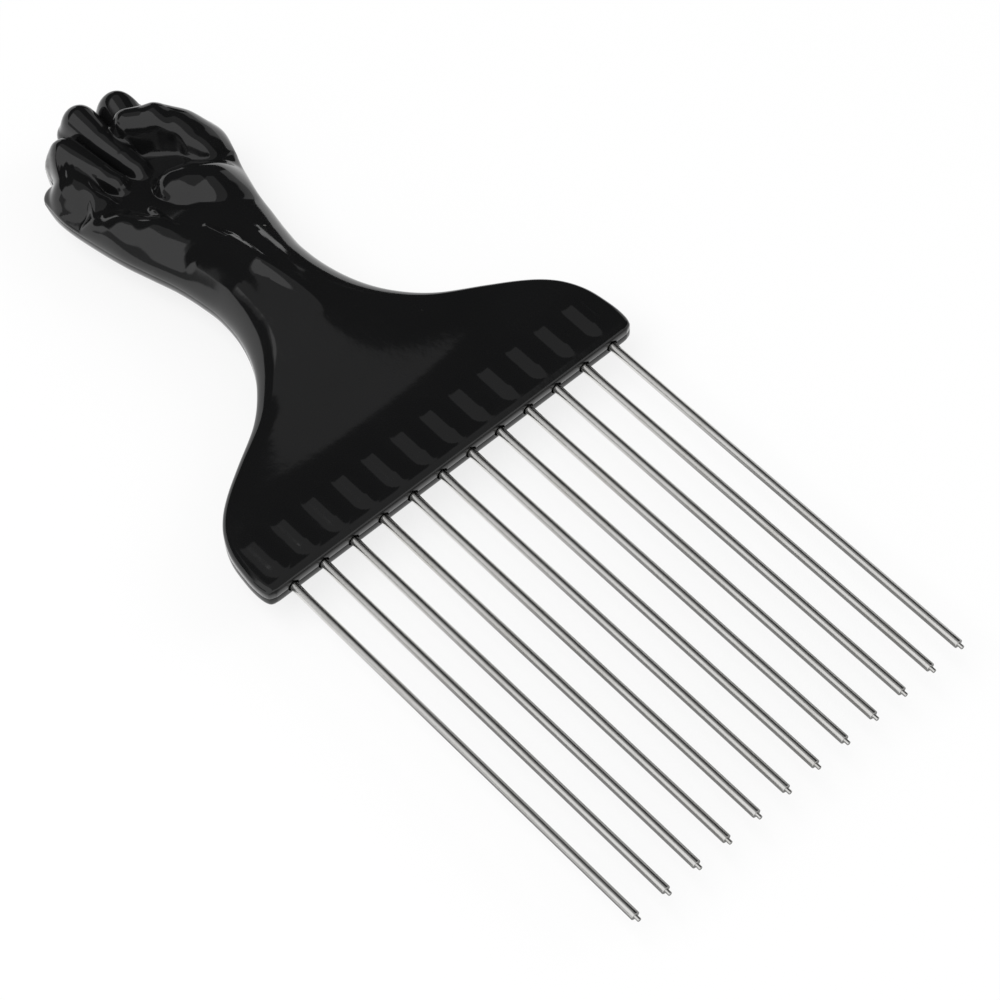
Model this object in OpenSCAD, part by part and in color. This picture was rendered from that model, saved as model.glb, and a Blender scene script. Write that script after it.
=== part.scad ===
// Afro pick: a handle moulded in two halves, shaped as an arm with a clenched right hand,
// and twelve steel tines held between the halves.
// The halves meet on a flat seam. The origin is under the middle of the whole pick, on the
// plane that the back of the hand touches. +Y runs along the handle to the knuckles, +X to
// the thumb side and +Z out of the palm side. All lengths are in millimetres.

/* [Tines] */
// Diameter of a tine
tine_d = 1.6; // [1:0.1:1.8]
// Length of a tine outside the handle, with its nib
tine_len = 79; // [60:1:95]
// Length of a tine inside the handle
root_len = 12.5; // [9:0.5:14]
// Diameter of the nib on the tip
nib_d = 0.7; // [0.4:0.1:0.9]
// Length of the nib on the tip
nib_len = 0.9; // [0.5:0.1:1.5]
// Diameter of the upset collar that holds the root
collar_d = 2.6; // [2.2:0.1:2.8]
// Length of the upset collar
collar_len = 1; // [0.6:0.1:1.5]

/* [Base] */
// Width of the base that holds the tines
base_w = 78.4; // [74:0.2:84]
// Distance from the axis of an outer tine to the side of the base
end_w = 5.1; // [4:0.1:6]
// Height of the base, from the tine wall to where it sweeps in to the arm
base_h = 22.4; // [19:0.2:30]
// Thickness of both halves together at the base
slab_t = 4.6; // [4:0.1:6]
// Radius of the edges of the base
rim_r = 1.2; // [0.6:0.1:1.4]
// Height of the straight wall beside the seam, on each half
land_h = 1.1; // [0.5:0.1:1.1]

/* [Ribs] */
// Width of the rounded rib over each tine root
rib_w = 4.6; // [3:0.1:4.8]
// Height of a rib above the face
rib_h = 0.5; // [0.3:0.1:0.8]
// Length of a rib
rib_len = 10.2; // [8:0.1:11]
// Distance of a rib behind the rounded front edge
rib_gap = 0.3; // [0.1:0.1:1]

/* [Arm] */
// Length of the arm, from the base to the narrowest place of the wrist
arm_len = 26.6; // [20:0.2:40]
// Width of the wrist at its narrowest place
arm_w = 18.9; // [16:0.1:24]
// Height of the wrist above the seam, on the palm side
arm_front = 7.2; // [5:0.1:9]
// Depth of the wrist below the seam, on the back
arm_back = 6.6; // [5:0.1:8.4]

/* [Hand] */
// Length of the hand, from the wrist to the highest knuckle
hand_len = 50.8; // [44:0.2:60]
// Width of the fist
hand_w = 32.6; // [28:0.2:38]
// Height of the thumb above the seam
hand_front = 11.4; // [9:0.1:14]
// Depth of the back of the hand below the seam
hand_back = 8.8; // [7.5:0.1:11]

/* [Fits] */
// Gap round a tine in its channel
tine_clear = 0.03; // [0.02:0.01:0.1]
// Diameter of the relief where a tine leaves the wall
exit_d = 2.2; // [2:0.1:2.6]
// Depth of that relief
exit_depth = 0.6; // [0.3:0.1:1]
// Diameter of the pegs that line up the two halves
peg_d = 3; // [2:0.1:4]
// Length of a peg
peg_len = 2.4; // [1.5:0.1:3]
// Gap round a peg in its socket
peg_clear = 0.1; // [0.05:0.01:0.2]

/* [Hidden] */
NODES = [
    "front_shell", "back_shell",
    "tine_01", "tine_02", "tine_03", "tine_04", "tine_05", "tine_06",
    "tine_07", "tine_08", "tine_09", "tine_10", "tine_11", "tine_12"
];
tine_names = [for (i = [2 : len(NODES) - 1]) NODES[i]];
tine_count = len(tine_names);
tine_pitch = (base_w - 2 * end_w) / (tine_count - 1);

// Places along the handle, measured from the wall that the tines leave
wrist_y = base_h + arm_len;
handle_len = wrist_y + hand_len;
// The origin lies under the middle of the overall length
wall_y = (tine_len - handle_len) / 2;
seam_z = hand_back;
half_slab = slab_t / 2;
cut_over = 0.5;
// Facets round a tine, a rib's end and a peg
round_facets = 48;

// Outline of the base: share of its height, share of its half width
base_shares = [
    [0, 0.955], [0.022, 0.985], [0.13, 1], [0.29, 0.996], [0.47, 0.978],
    [0.63, 0.937], [0.76, 0.878], [0.875, 0.8], [1, 0.694]
];
// Outline of the arm: share of its length, share of the width still left of the base
arm_shares = [[0.177, 0.59], [0.361, 0.32], [0.549, 0.146], [0.774, 0.035], [1, 0]];
// Outline of the hand: share of its length, share of the widening on the little finger
// side and on the thumb side
hand_shares = [
    [0.098, 0.07, 0.07], [0.197, 0.21, 0.195], [0.295, 0.43, 0.32], [0.413, 0.69, 0.57],
    [0.512, 0.87, 0.83], [0.59, 0.97, 0.985], [0.669, 1, 0.93], [0.728, 0.94, 0.65]
];
corner_share = hand_shares[len(hand_shares) - 1][0];
corner_y = wrist_y + corner_share * hand_len;

base_end_share = base_shares[len(base_shares) - 1][1];
base_end_w = base_end_share * base_w / 2;
// Each place of the outline: y, half width on the left, half width on the right
side_line = concat(
    [for (s = base_shares) [s[0] * base_h, s[1] * base_w / 2, s[1] * base_w / 2]],
    [for (s = arm_shares)
        let (w = arm_w / 2 + s[1] * (base_end_w - arm_w / 2))
        [base_h + s[0] * arm_len, w, w]],
    [for (s = hand_shares) [
        wrist_y + s[0] * hand_len,
        arm_w / 2 + s[1] * (hand_w - arm_w) / 2,
        arm_w / 2 + s[2] * (hand_w - arm_w) / 2
    ]]
);

// Knuckles along the top of the fist: x as a share of the half width, top as a share of
// the hand's length, radius as a share of the half width. The last is the thumb's side.
knuckle_shares = [
    [-0.825, 0.803, 0.166], [-0.522, 0.917, 0.203], [-0.147, 1, 0.236],
    [0.236, 0.961, 0.247], [0.613, 0.786, 0.307]
];
knuckles = [for (s = knuckle_shares)
    [s[0] * hand_w / 2, wrist_y + s[1] * hand_len, s[2] * hand_w / 2]];

// Height along the middle line: place, share of the rise on the palm side and on the back.
// In the base and arm the rise goes from the slab to the wrist.
flare_shares = [
    [0.25, 0, 0], [0.34, 0.04, 0.04], [0.45, 0.19, 0.18], [0.57, 0.46, 0.45],
    [0.71, 0.75, 0.75], [0.87, 0.95, 0.96], [1, 1, 1]
];
// In the hand the middle line is a share of the hand's own height
palm_shares = [
    [0.18, 0.56, 0.72], [0.34, 0.45, 0.69], [0.53, 0.2, 0.71], [0.73, 0.25, 0.74],
    [1, 0.27, 0.56]
];
spine = concat(
    [[0, half_slab, half_slab]],
    [for (s = flare_shares) [
        s[0] * wrist_y,
        half_slab + s[1] * (arm_front - half_slab),
        half_slab + s[2] * (arm_back - half_slab)
    ]],
    [for (s = palm_shares)
        [wrist_y + s[0] * hand_len, s[1] * hand_front, s[2] * hand_back]]
);

// Rounding of the outline's edge: place along the base and arm, share of the wrist's half
// width that is rounded, share of the slab's thickness kept at the edge
rim_shares = [
    [0.29, 0, 1], [0.41, 0.09, 0.95], [0.55, 0.24, 0.8], [0.71, 0.52, 0.4],
    [0.86, 0.82, 0.1], [1, 0.97, 0]
];
hand_rim_shares = [[0.22, 0.55], [0.51, 0.46], [1, 0.37]];
rim_line = concat(
    [[0, rim_r, 1]],
    [for (s = rim_shares) [s[0] * wrist_y, rim_r + s[1] * (arm_w / 2 - rim_r), s[2]]],
    [for (s = hand_rim_shares) [wrist_y + s[0] * hand_len, s[1] * hand_w / 2, 0]]
);
// Height over which the top of the fist rounds off
top_round_share = 0.2;
top_round = top_round_share * hand_w / 2;
// Height that the straight wall keeps round the hand, and how full the arm's crown is
land_keep_share = 0.4;
crown_power = 1.3;

// The fingers, the thumb and the mounds of the palm are chains of round links. A link's end
// is x and radius as shares of the fist's half width, y as a share of the hand's length and
// z as a share of the height on its side.
finger_shares = [
    [
        [-0.767, 0.709, 0.289, 0.209], [-0.65, 0.628, 0.316, 0.129], [-0.583, 0.587, 0.246, 0.11]
    ],
    [
        [-0.515, 0.843, 0.316, 0.202], [-0.393, 0.677, 0.351, 0.123], [-0.319, 0.626, 0.272, 0.11]
    ],
    [
        [-0.117, 0.925, 0.333, 0.196], [-0.11, 0.797, 0.281, 0.166], [-0.074, 0.681, 0.281, 0.135],
        [-0.031, 0.634, 0.228, 0.117]
    ],
    [
        [0.331, 0.904, 0.281, 0.221], [0.258, 0.768, 0.175, 0.209], [0.209, 0.701, 0.105, 0.196]
    ]
];
thumb_shares = [
    [0.724, 0.583, 0.105, 0.307], [0.589, 0.634, 0.351, 0.258], [0.307, 0.705, 0.605, 0.215],
    [-0.172, 0.772, 0.684, 0.092], [-0.374, 0.825, 0.649, 0.055]
];
thenar_shares = [
    [0.65, 0.443, 0.088, 0.282], [0.356, 0.48, 0.193, 0.258], [0.055, 0.461, 0.263, 0.215],
    [0.221, 0.39, 0.298, 0.245], [0.466, 0.307, 0.246, 0.233], [0.564, 0.217, 0.105, 0.221]
];
heel_shares = [
    [-0.859, 0.504, 0.158, 0.258], [-0.761, 0.461, 0.211, 0.258], [-0.528, 0.354, 0.211, 0.258],
    [-0.399, 0.177, 0.044, 0.307]
];
// Ridges that stand up softly from the arm's palm side: the forearm's edge and three tendons.
// A ridge's end is placed as a link's end is, with its rise and its half width in place of z
// and the radius.
ridge_shares = [
    [
        [-0.393, 0.207, 0.018, 0.092], [-0.417, 0.138, 0.088, 0.184], [-0.423, -0.02, 0.096, 0.184],
        [-0.491, -0.177, 0.031, 0.184], [-0.528, -0.315, 0, 0.184]
    ],
    [
        [-0.098, 0.236, 0.018, 0.074], [-0.061, 0.138, 0.088, 0.135], [-0.012, 0, 0.088, 0.147],
        [0.098, -0.157, 0.044, 0.147], [0.184, -0.295, 0, 0.147]
    ],
    [
        [0.221, 0.207, 0.009, 0.061], [0.227, 0.118, 0.061, 0.092], [0.221, 0, 0.053, 0.086],
        [0.209, -0.157, 0, 0.086]
    ],
    [
        [-0.307, 0.441, 0.044, 0.061], [-0.344, 0.335, 0.07, 0.08], [-0.301, 0.24, 0.044, 0.074],
        [-0.239, 0.185, 0, 0.061]
    ]
];
// On the back: the four long bones from the wrist to the knuckles, and the thumb's root
bone_shares = [
    [[-0.4, 0.295, 0.6, 0.135], [-0.75, 0.709, 0.47, 0.22]],
    [[-0.22, 0.276, 0.63, 0.147], [-0.466, 0.819, 0.54, 0.24]],
    [[-0.02, 0.256, 0.65, 0.147], [-0.11, 0.886, 0.56, 0.258]],
    [[0.2, 0.276, 0.6, 0.147], [0.24, 0.856, 0.54, 0.264]]
];
thumb_root_shares = [[0.43, 0.335, 0.22, 0.307], [0.736, 0.61, 0.11, 0.276]];

// How softly two forms run together, as shares of the fist's half width
soft_share = 0.09;
crease_share = 0.03;
bone_share = 0.11;
soft = soft_share * hand_w / 2;
crease = crease_share * hand_w / 2;
bone_soft = bone_share * hand_w / 2;

// Facets of the two halves: columns round each edge, columns between, rows of each zone
front_counts = [6, 38, 4, 18, 46, 6];
back_counts = [5, 20, 4, 12, 24, 5];

// Where the pegs stand, as shares of the handle's length
peg_shares = [0.42, 0.72];

// Smooth curve through the rows of a table: its column col at the place y
function slope(t, col, i) =
    let (a = max(i - 1, 0), b = min(i + 1, len(t) - 1))
    (t[b][col] - t[a][col]) / (t[b][0] - t[a][0]);
function span(t, y, i = 0) = i < len(t) - 2 && y > t[i + 1][0] ? span(t, y, i + 1) : i;
function curve(t, col, y) =
    let (
        i = span(t, y),
        h = t[i + 1][0] - t[i][0],
        s = min(max((y - t[i][0]) / h, 0), 1),
        s2 = s * s,
        s3 = s2 * s
    )
    (2 * s3 - 3 * s2 + 1) * t[i][col] + (s3 - 2 * s2 + s) * h * slope(t, col, i)
    + (3 * s2 - 2 * s3) * t[i + 1][col] + (s3 - s2) * h * slope(t, col, i + 1);

// The larger and the smaller of two heights, run together over the width k
function soft_max(a, b, k) = let (h = max(k - abs(a - b), 0)) max(a, b) + h * h / k / 4;
function soft_min(a, b, k) = -soft_max(-a, -b, k);
function soft_top(list, k, i = 0) =
    i == len(list) - 1 ? list[i] : soft_max(list[i], soft_top(list, k, i + 1), k);

// A half circle's height at the distance d from its middle, running on straight down
arc_share = 0.96;
arc_fall = arc_share / sqrt(1 - arc_share * arc_share);
function arc(d, r) =
    let (s = min(abs(d), arc_share * r)) sqrt(r * r - s * s) - arc_fall * (abs(d) - s);

// Height of a round tapered link between two ends, and of a chain of links
function link(x, y, a, b) =
    let (
        dx = b[0] - a[0],
        dy = b[1] - a[1],
        t = min(max(((x - a[0]) * dx + (y - a[1]) * dy) / (dx * dx + dy * dy), 0), 1)
    )
    a[2] + t * (b[2] - a[2])
    + arc(norm([x - a[0] - t * dx, y - a[1] - t * dy]), a[3] + t * (b[3] - a[3]));
function chain(x, y, c, k) =
    soft_top([for (i = [0 : len(c) - 2]) link(x, y, c[i], c[i + 1])], k);
function on_hand(shares, height) = [for (s = shares) [
    s[0] * hand_w / 2, wrist_y + s[1] * hand_len, s[2] * height, s[3] * hand_w / 2
]];

fingers = [for (s = finger_shares) on_hand(s, hand_front)];
thumb = on_hand(thumb_shares, hand_front);
thenar = on_hand(thenar_shares, hand_front);
heel = on_hand(heel_shares, hand_front);
ridges = [for (s = ridge_shares) on_hand(s, hand_front)];
bones = [for (s = bone_shares) on_hand(s, hand_back)];
thumb_root = on_hand(thumb_root_shares, hand_back);

// Rise of a soft ridge along a row of ends, and of all the ridges of the arm together
function swell(x, y, c) = max([for (i = [0 : len(c) - 2])
    let (
        a = c[i],
        b = c[i + 1],
        dx = b[0] - a[0],
        dy = b[1] - a[1],
        t = min(max(((x - a[0]) * dx + (y - a[1]) * dy) / (dx * dx + dy * dy), 0), 1),
        d = norm([x - a[0] - t * dx, y - a[1] - t * dy]) / (a[3] + t * (b[3] - a[3])),
        low = max(1 - d * d, 0)
    )
    (a[2] + t * (b[2] - a[2])) * low * low
]);
function ridge_rise(x, y, i = 0) =
    i == len(ridges) ? 0 : swell(x, y, ridges[i]) + ridge_rise(x, y, i + 1);

// The palm side and the back of the hand over the plain middle form of height z
function palm_side(x, y, z) =
    let (
        palm = soft_top([z, chain(x, y, heel, soft), chain(x, y, thenar, soft)], soft),
        folded = soft_top([for (f = fingers) chain(x, y, f, crease)], crease),
        grip = soft_max(soft_max(palm, folded, crease), chain(x, y, thumb, soft), crease)
    )
    soft_min(grip, hand_front, crease);
function back_side(x, y, z) =
    let (hand = soft_top([for (b = bones) chain(x, y, b, soft)], bone_soft))
    soft_min(soft_top([z, hand, chain(x, y, thumb_root, soft)], bone_soft), hand_back, soft);

// The knuckles' line along the top
function knuckle_line(x) =
    soft_top([for (k = knuckles) k[1] - k[2] + arc(x - k[0], k[2])], crease);

// A quarter round edge: 0 at the outline, 1 once d has reached the radius r
function quarter(d, r) = let (t = 1 - min(max(d / r, 0), 1)) sqrt(1 - t * t);
function round_step(k, n) = 1 - cos(90 * k / n);
function smooth_step(t) = let (s = min(max(t, 0), 1)) s * s * (3 - 2 * s);

// Rows of the form, as places along the handle before the knuckles lift them
function row_places(c) = concat(
    [for (k = [0 : c[2]]) rim_r * round_step(k, c[2])],
    [for (k = [1 : c[3]]) rim_r + (wrist_y - rim_r) * k / c[3]],
    [for (k = [1 : c[4]]) wrist_y + (corner_y - top_round - wrist_y) * k / c[4]],
    [for (k = [c[5] - 1 : -1 : 0]) corner_y - top_round * round_step(k, c[5])]
);
// The x of column i in a row with half widths wl and wr and edge radius r
function column_x(i, c, wl, wr, r) =
    i <= c[0] ? r * round_step(i, c[0]) - wl
    : i >= c[0] + c[1] ? wr - r * round_step(2 * c[0] + c[1] - i, c[0])
    : (r - wl) + (wl + wr - 2 * r) * (i - c[0]) / c[1];

// One row of points on the surface of a half. col is 1 for the palm side and 2 for the back.
lift_share = 0.5;
function form_row(y0, c, col) =
    let (
        wl = curve(side_line, 1, y0),
        wr = curve(side_line, 2, y0),
        r = max(curve(rim_line, 1, y0), rim_r),
        keep = min(max(curve(rim_line, 2, y0), 0), 1),
        middle = max(curve(spine, col, y0), half_slab),
        edge = keep * half_slab,
        lift = smooth_step((y0 - wrist_y - lift_share * (corner_y - wrist_y))
            / ((1 - lift_share) * (corner_y - top_round - wrist_y))),
        land = land_h * (land_keep_share + (1 - land_keep_share) * keep)
    )
    [for (i = [0 : 2 * c[0] + c[1]])
        let (
            x = column_x(i, c, wl, wr, r),
            top = max(knuckle_line(x), corner_y),
            y = y0 + lift * (top - corner_y),
            u = min(abs(x) / (x < 0 ? wl : wr), 1),
            rise = col == 1 && y > base_h ? ridge_rise(x, y) : 0,
            plain = edge + rise
                + (middle - edge) * (keep * pow(1 - u * u, crown_power) + 1 - keep),
            form = y0 <= wrist_y - arm_len / 4 ? plain
                : col == 1 ? palm_side(x, y, plain) : back_side(x, y, plain),
            edges = quarter(x + wl, r) * quarter(wr - x, r)
                * quarter(top - y, top_round) * quarter(y, rim_r)
        )
        [x, y, land + (form - land) * edges]
    ];

// The closed form of one half: its surface, the straight wall round it and the seam face,
// with c for the counts of its facets and col as above
module half_form(c, col) {
    rows = [for (y0 = row_places(c)) form_row(y0, c, col)];
    n_col = len(rows[0]);
    n_row = len(rows);
    skin = [for (row = rows) for (p = row) p];
    top = (n_row - 1) * n_col;
    // The outline runs along the wall, up the thumb side, over the knuckles and down again
    outline = concat(
        [for (i = [0 : n_col - 1]) i],
        [for (j = [1 : n_row - 1]) j * n_col + n_col - 1],
        [for (i = [n_col - 2 : -1 : 0]) top + i],
        [for (j = [n_row - 2 : -1 : 1]) j * n_col]
    );
    n_line = len(outline);
    n_skin = len(skin);
    // Points of the seam face: the outline again, and a straight line under the knuckles
    base = n_skin;
    under = n_skin + n_line;
    under_y = rows[n_row - 2][0][1];
    points = concat(
        skin,
        [for (k = outline) [skin[k][0], skin[k][1], 0]],
        [for (i = [1 : n_col - 2]) [rows[n_row - 1][i][0], under_y, 0]]
    );
    // Places of the seam face's points: right and left end of row j, column i of the top
    function right_end(j) = base + n_col - 1 + j;
    function left_end(j) = base + (j == 0 ? 0 : n_line - j);
    function at_top(i) = base + n_col - 1 + n_row - 1 + (n_col - 1 - i);
    function at_under(i) =
        i == 0 ? left_end(n_row - 2) : i == n_col - 1 ? right_end(n_row - 2) : under + i - 1;
    faces = concat(
        [for (j = [0 : n_row - 2]) for (i = [0 : n_col - 2])
            let (a = j * n_col + i)
            each [[a, a + n_col, a + 1], [a + 1, a + n_col, a + n_col + 1]]],
        [for (k = [0 : n_line - 1])
            let (m = (k + 1) % n_line)
            each [[outline[k], outline[m], base + k], [outline[m], base + m, base + k]]],
        [for (i = [0 : n_col - 2]) [left_end(1), base + i, base + i + 1]],
        [[left_end(1), base + n_col - 1, right_end(1)]],
        [for (j = [1 : n_row - 4]) each [
            [left_end(j), right_end(j), left_end(j + 1)],
            [right_end(j), right_end(j + 1), left_end(j + 1)]
        ]],
        [[left_end(n_row - 3), right_end(n_row - 3), at_under(n_col - 1)]],
        [for (i = [n_col - 1 : -1 : 1]) [left_end(n_row - 3), at_under(i), at_under(i - 1)]],
        [for (i = [0 : n_col - 2]) each [
            [at_under(i), at_under(i + 1), at_top(i)],
            [at_under(i + 1), at_top(i + 1), at_top(i)]
        ]]
    );
    polyhedron(points, faces);
}

function tine_x(i) = (i - (tine_count - 1) / 2) * tine_pitch;

// A round bar along Y from y to y + l, in the seam plane
module bar(y, l, r) {
    translate([0, y, 0])
        rotate([-90, 0, 0])
            cylinder(h = l, r = r, $fn = round_facets);
}

collar_y = root_len - 2 * collar_len;

// What a tine takes out of the halves: its channel, the collar's seat and the exit relief
module tine_seat() {
    bar(-cut_over, root_len + cut_over + tine_clear, tine_d / 2 + tine_clear);
    bar(collar_y - tine_clear, collar_len + 2 * tine_clear, collar_d / 2 + tine_clear);
    bar(-cut_over, exit_depth + cut_over, exit_d / 2);
}

module tine_seats() {
    for (i = [0 : tine_count - 1])
        translate([tine_x(i), 0, 0])
            tine_seat();
}

// A rounded rib on the palm side's face: the part of a thick round bar above the face
module rib() {
    r = (rib_w * rib_w / 4 + rib_h * rib_h) / (2 * rib_h);
    start = rim_r + rib_gap + rib_w / 2;
    intersection() {
        translate([0, 0, half_slab + rib_h - r]) {
            bar(start, rib_len - rib_w, r);
            translate([0, start, 0])
                sphere(r = r, $fn = round_facets);
            translate([0, start + rib_len - rib_w, 0])
                sphere(r = r, $fn = round_facets);
        }
        translate([-rib_w, 0, half_slab - rib_h / 2])
            cube([2 * rib_w, 2 * rib_len, 2 * rib_h]);
    }
}

module at_seam() {
    translate([0, wall_y, seam_z])
        children();
}

module front_shell() {
    color([0.05, 0.05, 0.05])
        at_seam() {
            difference() {
                union() {
                    half_form(front_counts, 1);
                    for (i = [0 : tine_count - 1])
                        translate([tine_x(i), 0, 0])
                            rib();
                }
                tine_seats();
            }
            for (s = peg_shares)
                translate([0, s * handle_len, -peg_len])
                    cylinder(h = peg_len, d = peg_d, $fn = round_facets);
        }
}

module back_shell() {
    color([0.08, 0.08, 0.08])
        at_seam()
            mirror([0, 0, 1])
                difference() {
                    half_form(back_counts, 2);
                    tine_seats();
                    for (s = peg_shares)
                        translate([0, s * handle_len, -cut_over])
                            cylinder(h = peg_len + peg_clear + cut_over,
                                d = peg_d + 2 * peg_clear, $fn = round_facets);
                }
}

// A tine: a straight round bar with a collar on its root and a short nib on its tip
module tine(i) {
    color([0.78, 0.78, 0.8])
        at_seam()
            translate([tine_x(i), 0, 0]) {
                bar(nib_len - tine_len, tine_len - nib_len + root_len, tine_d / 2);
                bar(collar_y, collar_len, collar_d / 2);
                bar(-tine_len, nib_len, nib_d / 2);
            }
}

front_shell();
back_shell();
for (i = [0 : tine_count - 1]) tine(i);
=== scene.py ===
# Looks of the afro pick: the glossy black handle and the steel tines, on a pale floor.
# It is run as a script. Every piece is made in metres, in the part's own frame.
import math
from functools import reduce
from operator import mul

import bmesh
import bpy
import numpy as np
from bpy.props import FloatProperty, FloatVectorProperty, IntProperty, PointerProperty
from bpy.types import Operator, Panel, PropertyGroup
from mathutils import Matrix, Vector


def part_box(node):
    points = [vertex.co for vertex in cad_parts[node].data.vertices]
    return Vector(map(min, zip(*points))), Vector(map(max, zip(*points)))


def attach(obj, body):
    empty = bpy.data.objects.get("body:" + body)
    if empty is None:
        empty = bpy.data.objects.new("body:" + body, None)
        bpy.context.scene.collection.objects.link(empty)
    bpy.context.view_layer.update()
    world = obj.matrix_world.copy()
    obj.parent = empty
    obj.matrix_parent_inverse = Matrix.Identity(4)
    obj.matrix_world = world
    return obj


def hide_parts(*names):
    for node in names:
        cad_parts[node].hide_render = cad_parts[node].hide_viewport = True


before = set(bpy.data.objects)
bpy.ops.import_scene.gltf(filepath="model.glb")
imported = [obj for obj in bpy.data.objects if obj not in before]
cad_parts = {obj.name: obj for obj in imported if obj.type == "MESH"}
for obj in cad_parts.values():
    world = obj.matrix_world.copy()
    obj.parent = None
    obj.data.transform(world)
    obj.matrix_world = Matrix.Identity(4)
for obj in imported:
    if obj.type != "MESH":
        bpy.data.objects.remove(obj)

bl_info = {
    "name": "Afro Pick",
    "version": (1, 0, 0),
    "blender": (4, 5, 0),
    "location": "View3D > Sidebar > Afro Pick",
    "description": "Makes the handle, the tines and the stage of an afro pick",
    "category": "Object",
}

TINES = sorted(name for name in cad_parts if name.startswith("tine_"))
# The tine wall's place along Y and the seam's height, as the frame has them
WALL_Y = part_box("back_shell")[0].y
SEAM_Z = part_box("back_shell")[1].z
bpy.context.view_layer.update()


# Sizes, finishes and stage, as the sidebar shows them

def length(name, text, default, high=1.0):
    return FloatProperty(name=name, description=text, default=default, min=0, max=high,
                         precision=5, subtype="DISTANCE", unit="LENGTH")


class HandleSizes(PropertyGroup):
    base_w: length("Base width", "Width of the base that holds the tines", 0.0784)
    base_h: length("Base height", "From the tine wall to where the base sweeps in", 0.0224)
    slab_t: length("Base thickness", "Both halves together at the base", 0.0046)
    rim_r: length("Edge radius", "Radius of the edges of the base", 0.0012)
    land_h: length("Wall height", "Straight wall beside the seam, on each half", 0.0011)
    arm_len: length("Arm length", "From the base to the wrist", 0.0266)
    arm_w: length("Wrist width", "Width at the narrowest place", 0.0189)
    arm_front: length("Wrist height", "Above the seam, on the palm side", 0.0072)
    arm_back: length("Wrist depth", "Below the seam, on the back", 0.0066)
    hand_len: length("Hand length", "From the wrist to the highest knuckle", 0.0508)
    hand_w: length("Fist width", "Width of the fist", 0.0326)
    hand_front: length("Thumb height", "Height of the thumb above the seam", 0.0114)
    hand_back: length("Hand depth", "Depth of the back of the hand below the seam", 0.0088)
    rib_w: length("Rib width", "Width of the rib over each tine", 0.005)
    rib_h: length("Rib height", "Height of a rib above the face", 0.0005)
    rib_len: length("Rib length", "Length of a rib", 0.0102)
    rib_gap: length("Rib setback", "From the rounded front edge to a rib", 0.0003)
    seam_gap: length("Seam edge", "Rounding of the edges that meet at the seam", 0.00012)
    exit_d: length("Exit width", "Relief where a tine leaves the wall", 0.0022)
    exit_depth: length("Exit depth", "Depth of that relief", 0.0006)
    channel_d: length("Channel width", "Channel that holds a tine's root", 0.00166)
    root_len: length("Root length", "Length of a tine inside the handle", 0.0125)
    collar_d: length("Collar seat", "Seat of the collar on a tine's root", 0.00266)
    collar_len: length("Collar seat length", "Length of that seat", 0.00106)
    seat_clear: length("Seat clearance", "Play round a tine's root and its collar", 0.00003)


class TineSizes(PropertyGroup):
    tine_d: length("Tine width", "Diameter of a tine", 0.0016)
    tine_len: length("Tine length", "Length outside the handle, with the nib", 0.079)
    nib_d: length("Nib width", "Diameter of the nib on the tip", 0.0007)
    nib_len: length("Nib length", "Length of the nib", 0.0009)
    collar_d: length("Collar width", "Diameter of the collar on the root", 0.0026)
    collar_len: length("Collar length", "Length of that collar", 0.001)
    round_parts: IntProperty(name="Sides", description="Sides of a tine", default=40, min=8)


class PickFinish(PropertyGroup):
    plastic_colour: FloatVectorProperty(
        name="Plastic", description="Colour of the handle", subtype="COLOR", size=3,
        min=0, max=1, default=(0.0065, 0.0066, 0.0068))
    plastic_rough: FloatProperty(
        name="Plastic roughness", description="Roughness of the clean moulded surface",
        default=0.085, min=0, max=1, subtype="FACTOR")
    steel_colour: FloatVectorProperty(
        name="Steel", description="Colour of the tines", subtype="COLOR", size=3,
        min=0, max=1, default=(0.72, 0.715, 0.70))
    steel_rough: FloatProperty(
        name="Steel roughness", description="Roughness of the drawn steel",
        default=0.21, min=0, max=1, subtype="FACTOR")


class StageSettings(PropertyGroup):
    eye: FloatVectorProperty(
        name="Camera place", description="Where the camera stands", subtype="TRANSLATION",
        size=3, default=(-0.17844, -0.23761, 0.42941))
    look_at: FloatVectorProperty(
        name="Camera target", description="Where the camera looks", subtype="TRANSLATION",
        size=3, default=(0.00029, -0.02051, 0.0088))
    roll: FloatProperty(
        name="Camera roll", description="Turn of the camera about its own axis",
        default=math.radians(-2.943), subtype="ANGLE", unit="ROTATION")
    lens: FloatProperty(
        name="Lens", description="Focal length on a sensor 36 mm wide, in millimetres",
        default=114.39, min=10)
    floor_size: length("Floor", "Width of the floor", 6.0, high=20.0)
    key_power: FloatProperty(
        name="Key lamp", description="Power of the large lamp overhead, in watts",
        default=9.0, min=0)
    fill_power: FloatProperty(
        name="Fill lamp", description="Power of the lamp at the side, in watts",
        default=3.0, min=0)
    sky_light: FloatProperty(
        name="Room light", description="Light of the pale room on matt surfaces",
        default=0.55, min=0)


# The handle's form. Its outline, heights and folds are tables of shares of the named sizes

# Base: share of its height, share of its half width
BASE_SHARES = [[0, 0.955], [0.022, 0.985], [0.13, 1], [0.29, 0.996], [0.47, 0.978],
               [0.63, 0.937], [0.76, 0.878], [0.875, 0.8], [1, 0.694]]
# Arm: share of its length, share of the width still left of the base
ARM_SHARES = [[0.177, 0.59], [0.361, 0.32], [0.549, 0.146], [0.774, 0.035], [1, 0]]
# Hand: share of its length, share of the widening on each side
HAND_SHARES = [[0.098, 0.07, 0.07], [0.197, 0.21, 0.195], [0.295, 0.43, 0.32],
               [0.413, 0.69, 0.57], [0.512, 0.87, 0.83], [0.59, 0.97, 0.985],
               [0.669, 1, 0.93], [0.728, 0.94, 0.65]]
# Knuckles: x, top and radius. The top is a share of the hand's length, the others are shares
# of the fist's half width
KNUCKLE_SHARES = [[-0.825, 0.803, 0.166], [-0.522, 0.917, 0.203], [-0.147, 1, 0.236],
                  [0.236, 0.961, 0.247], [0.613, 0.786, 0.307]]
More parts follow.
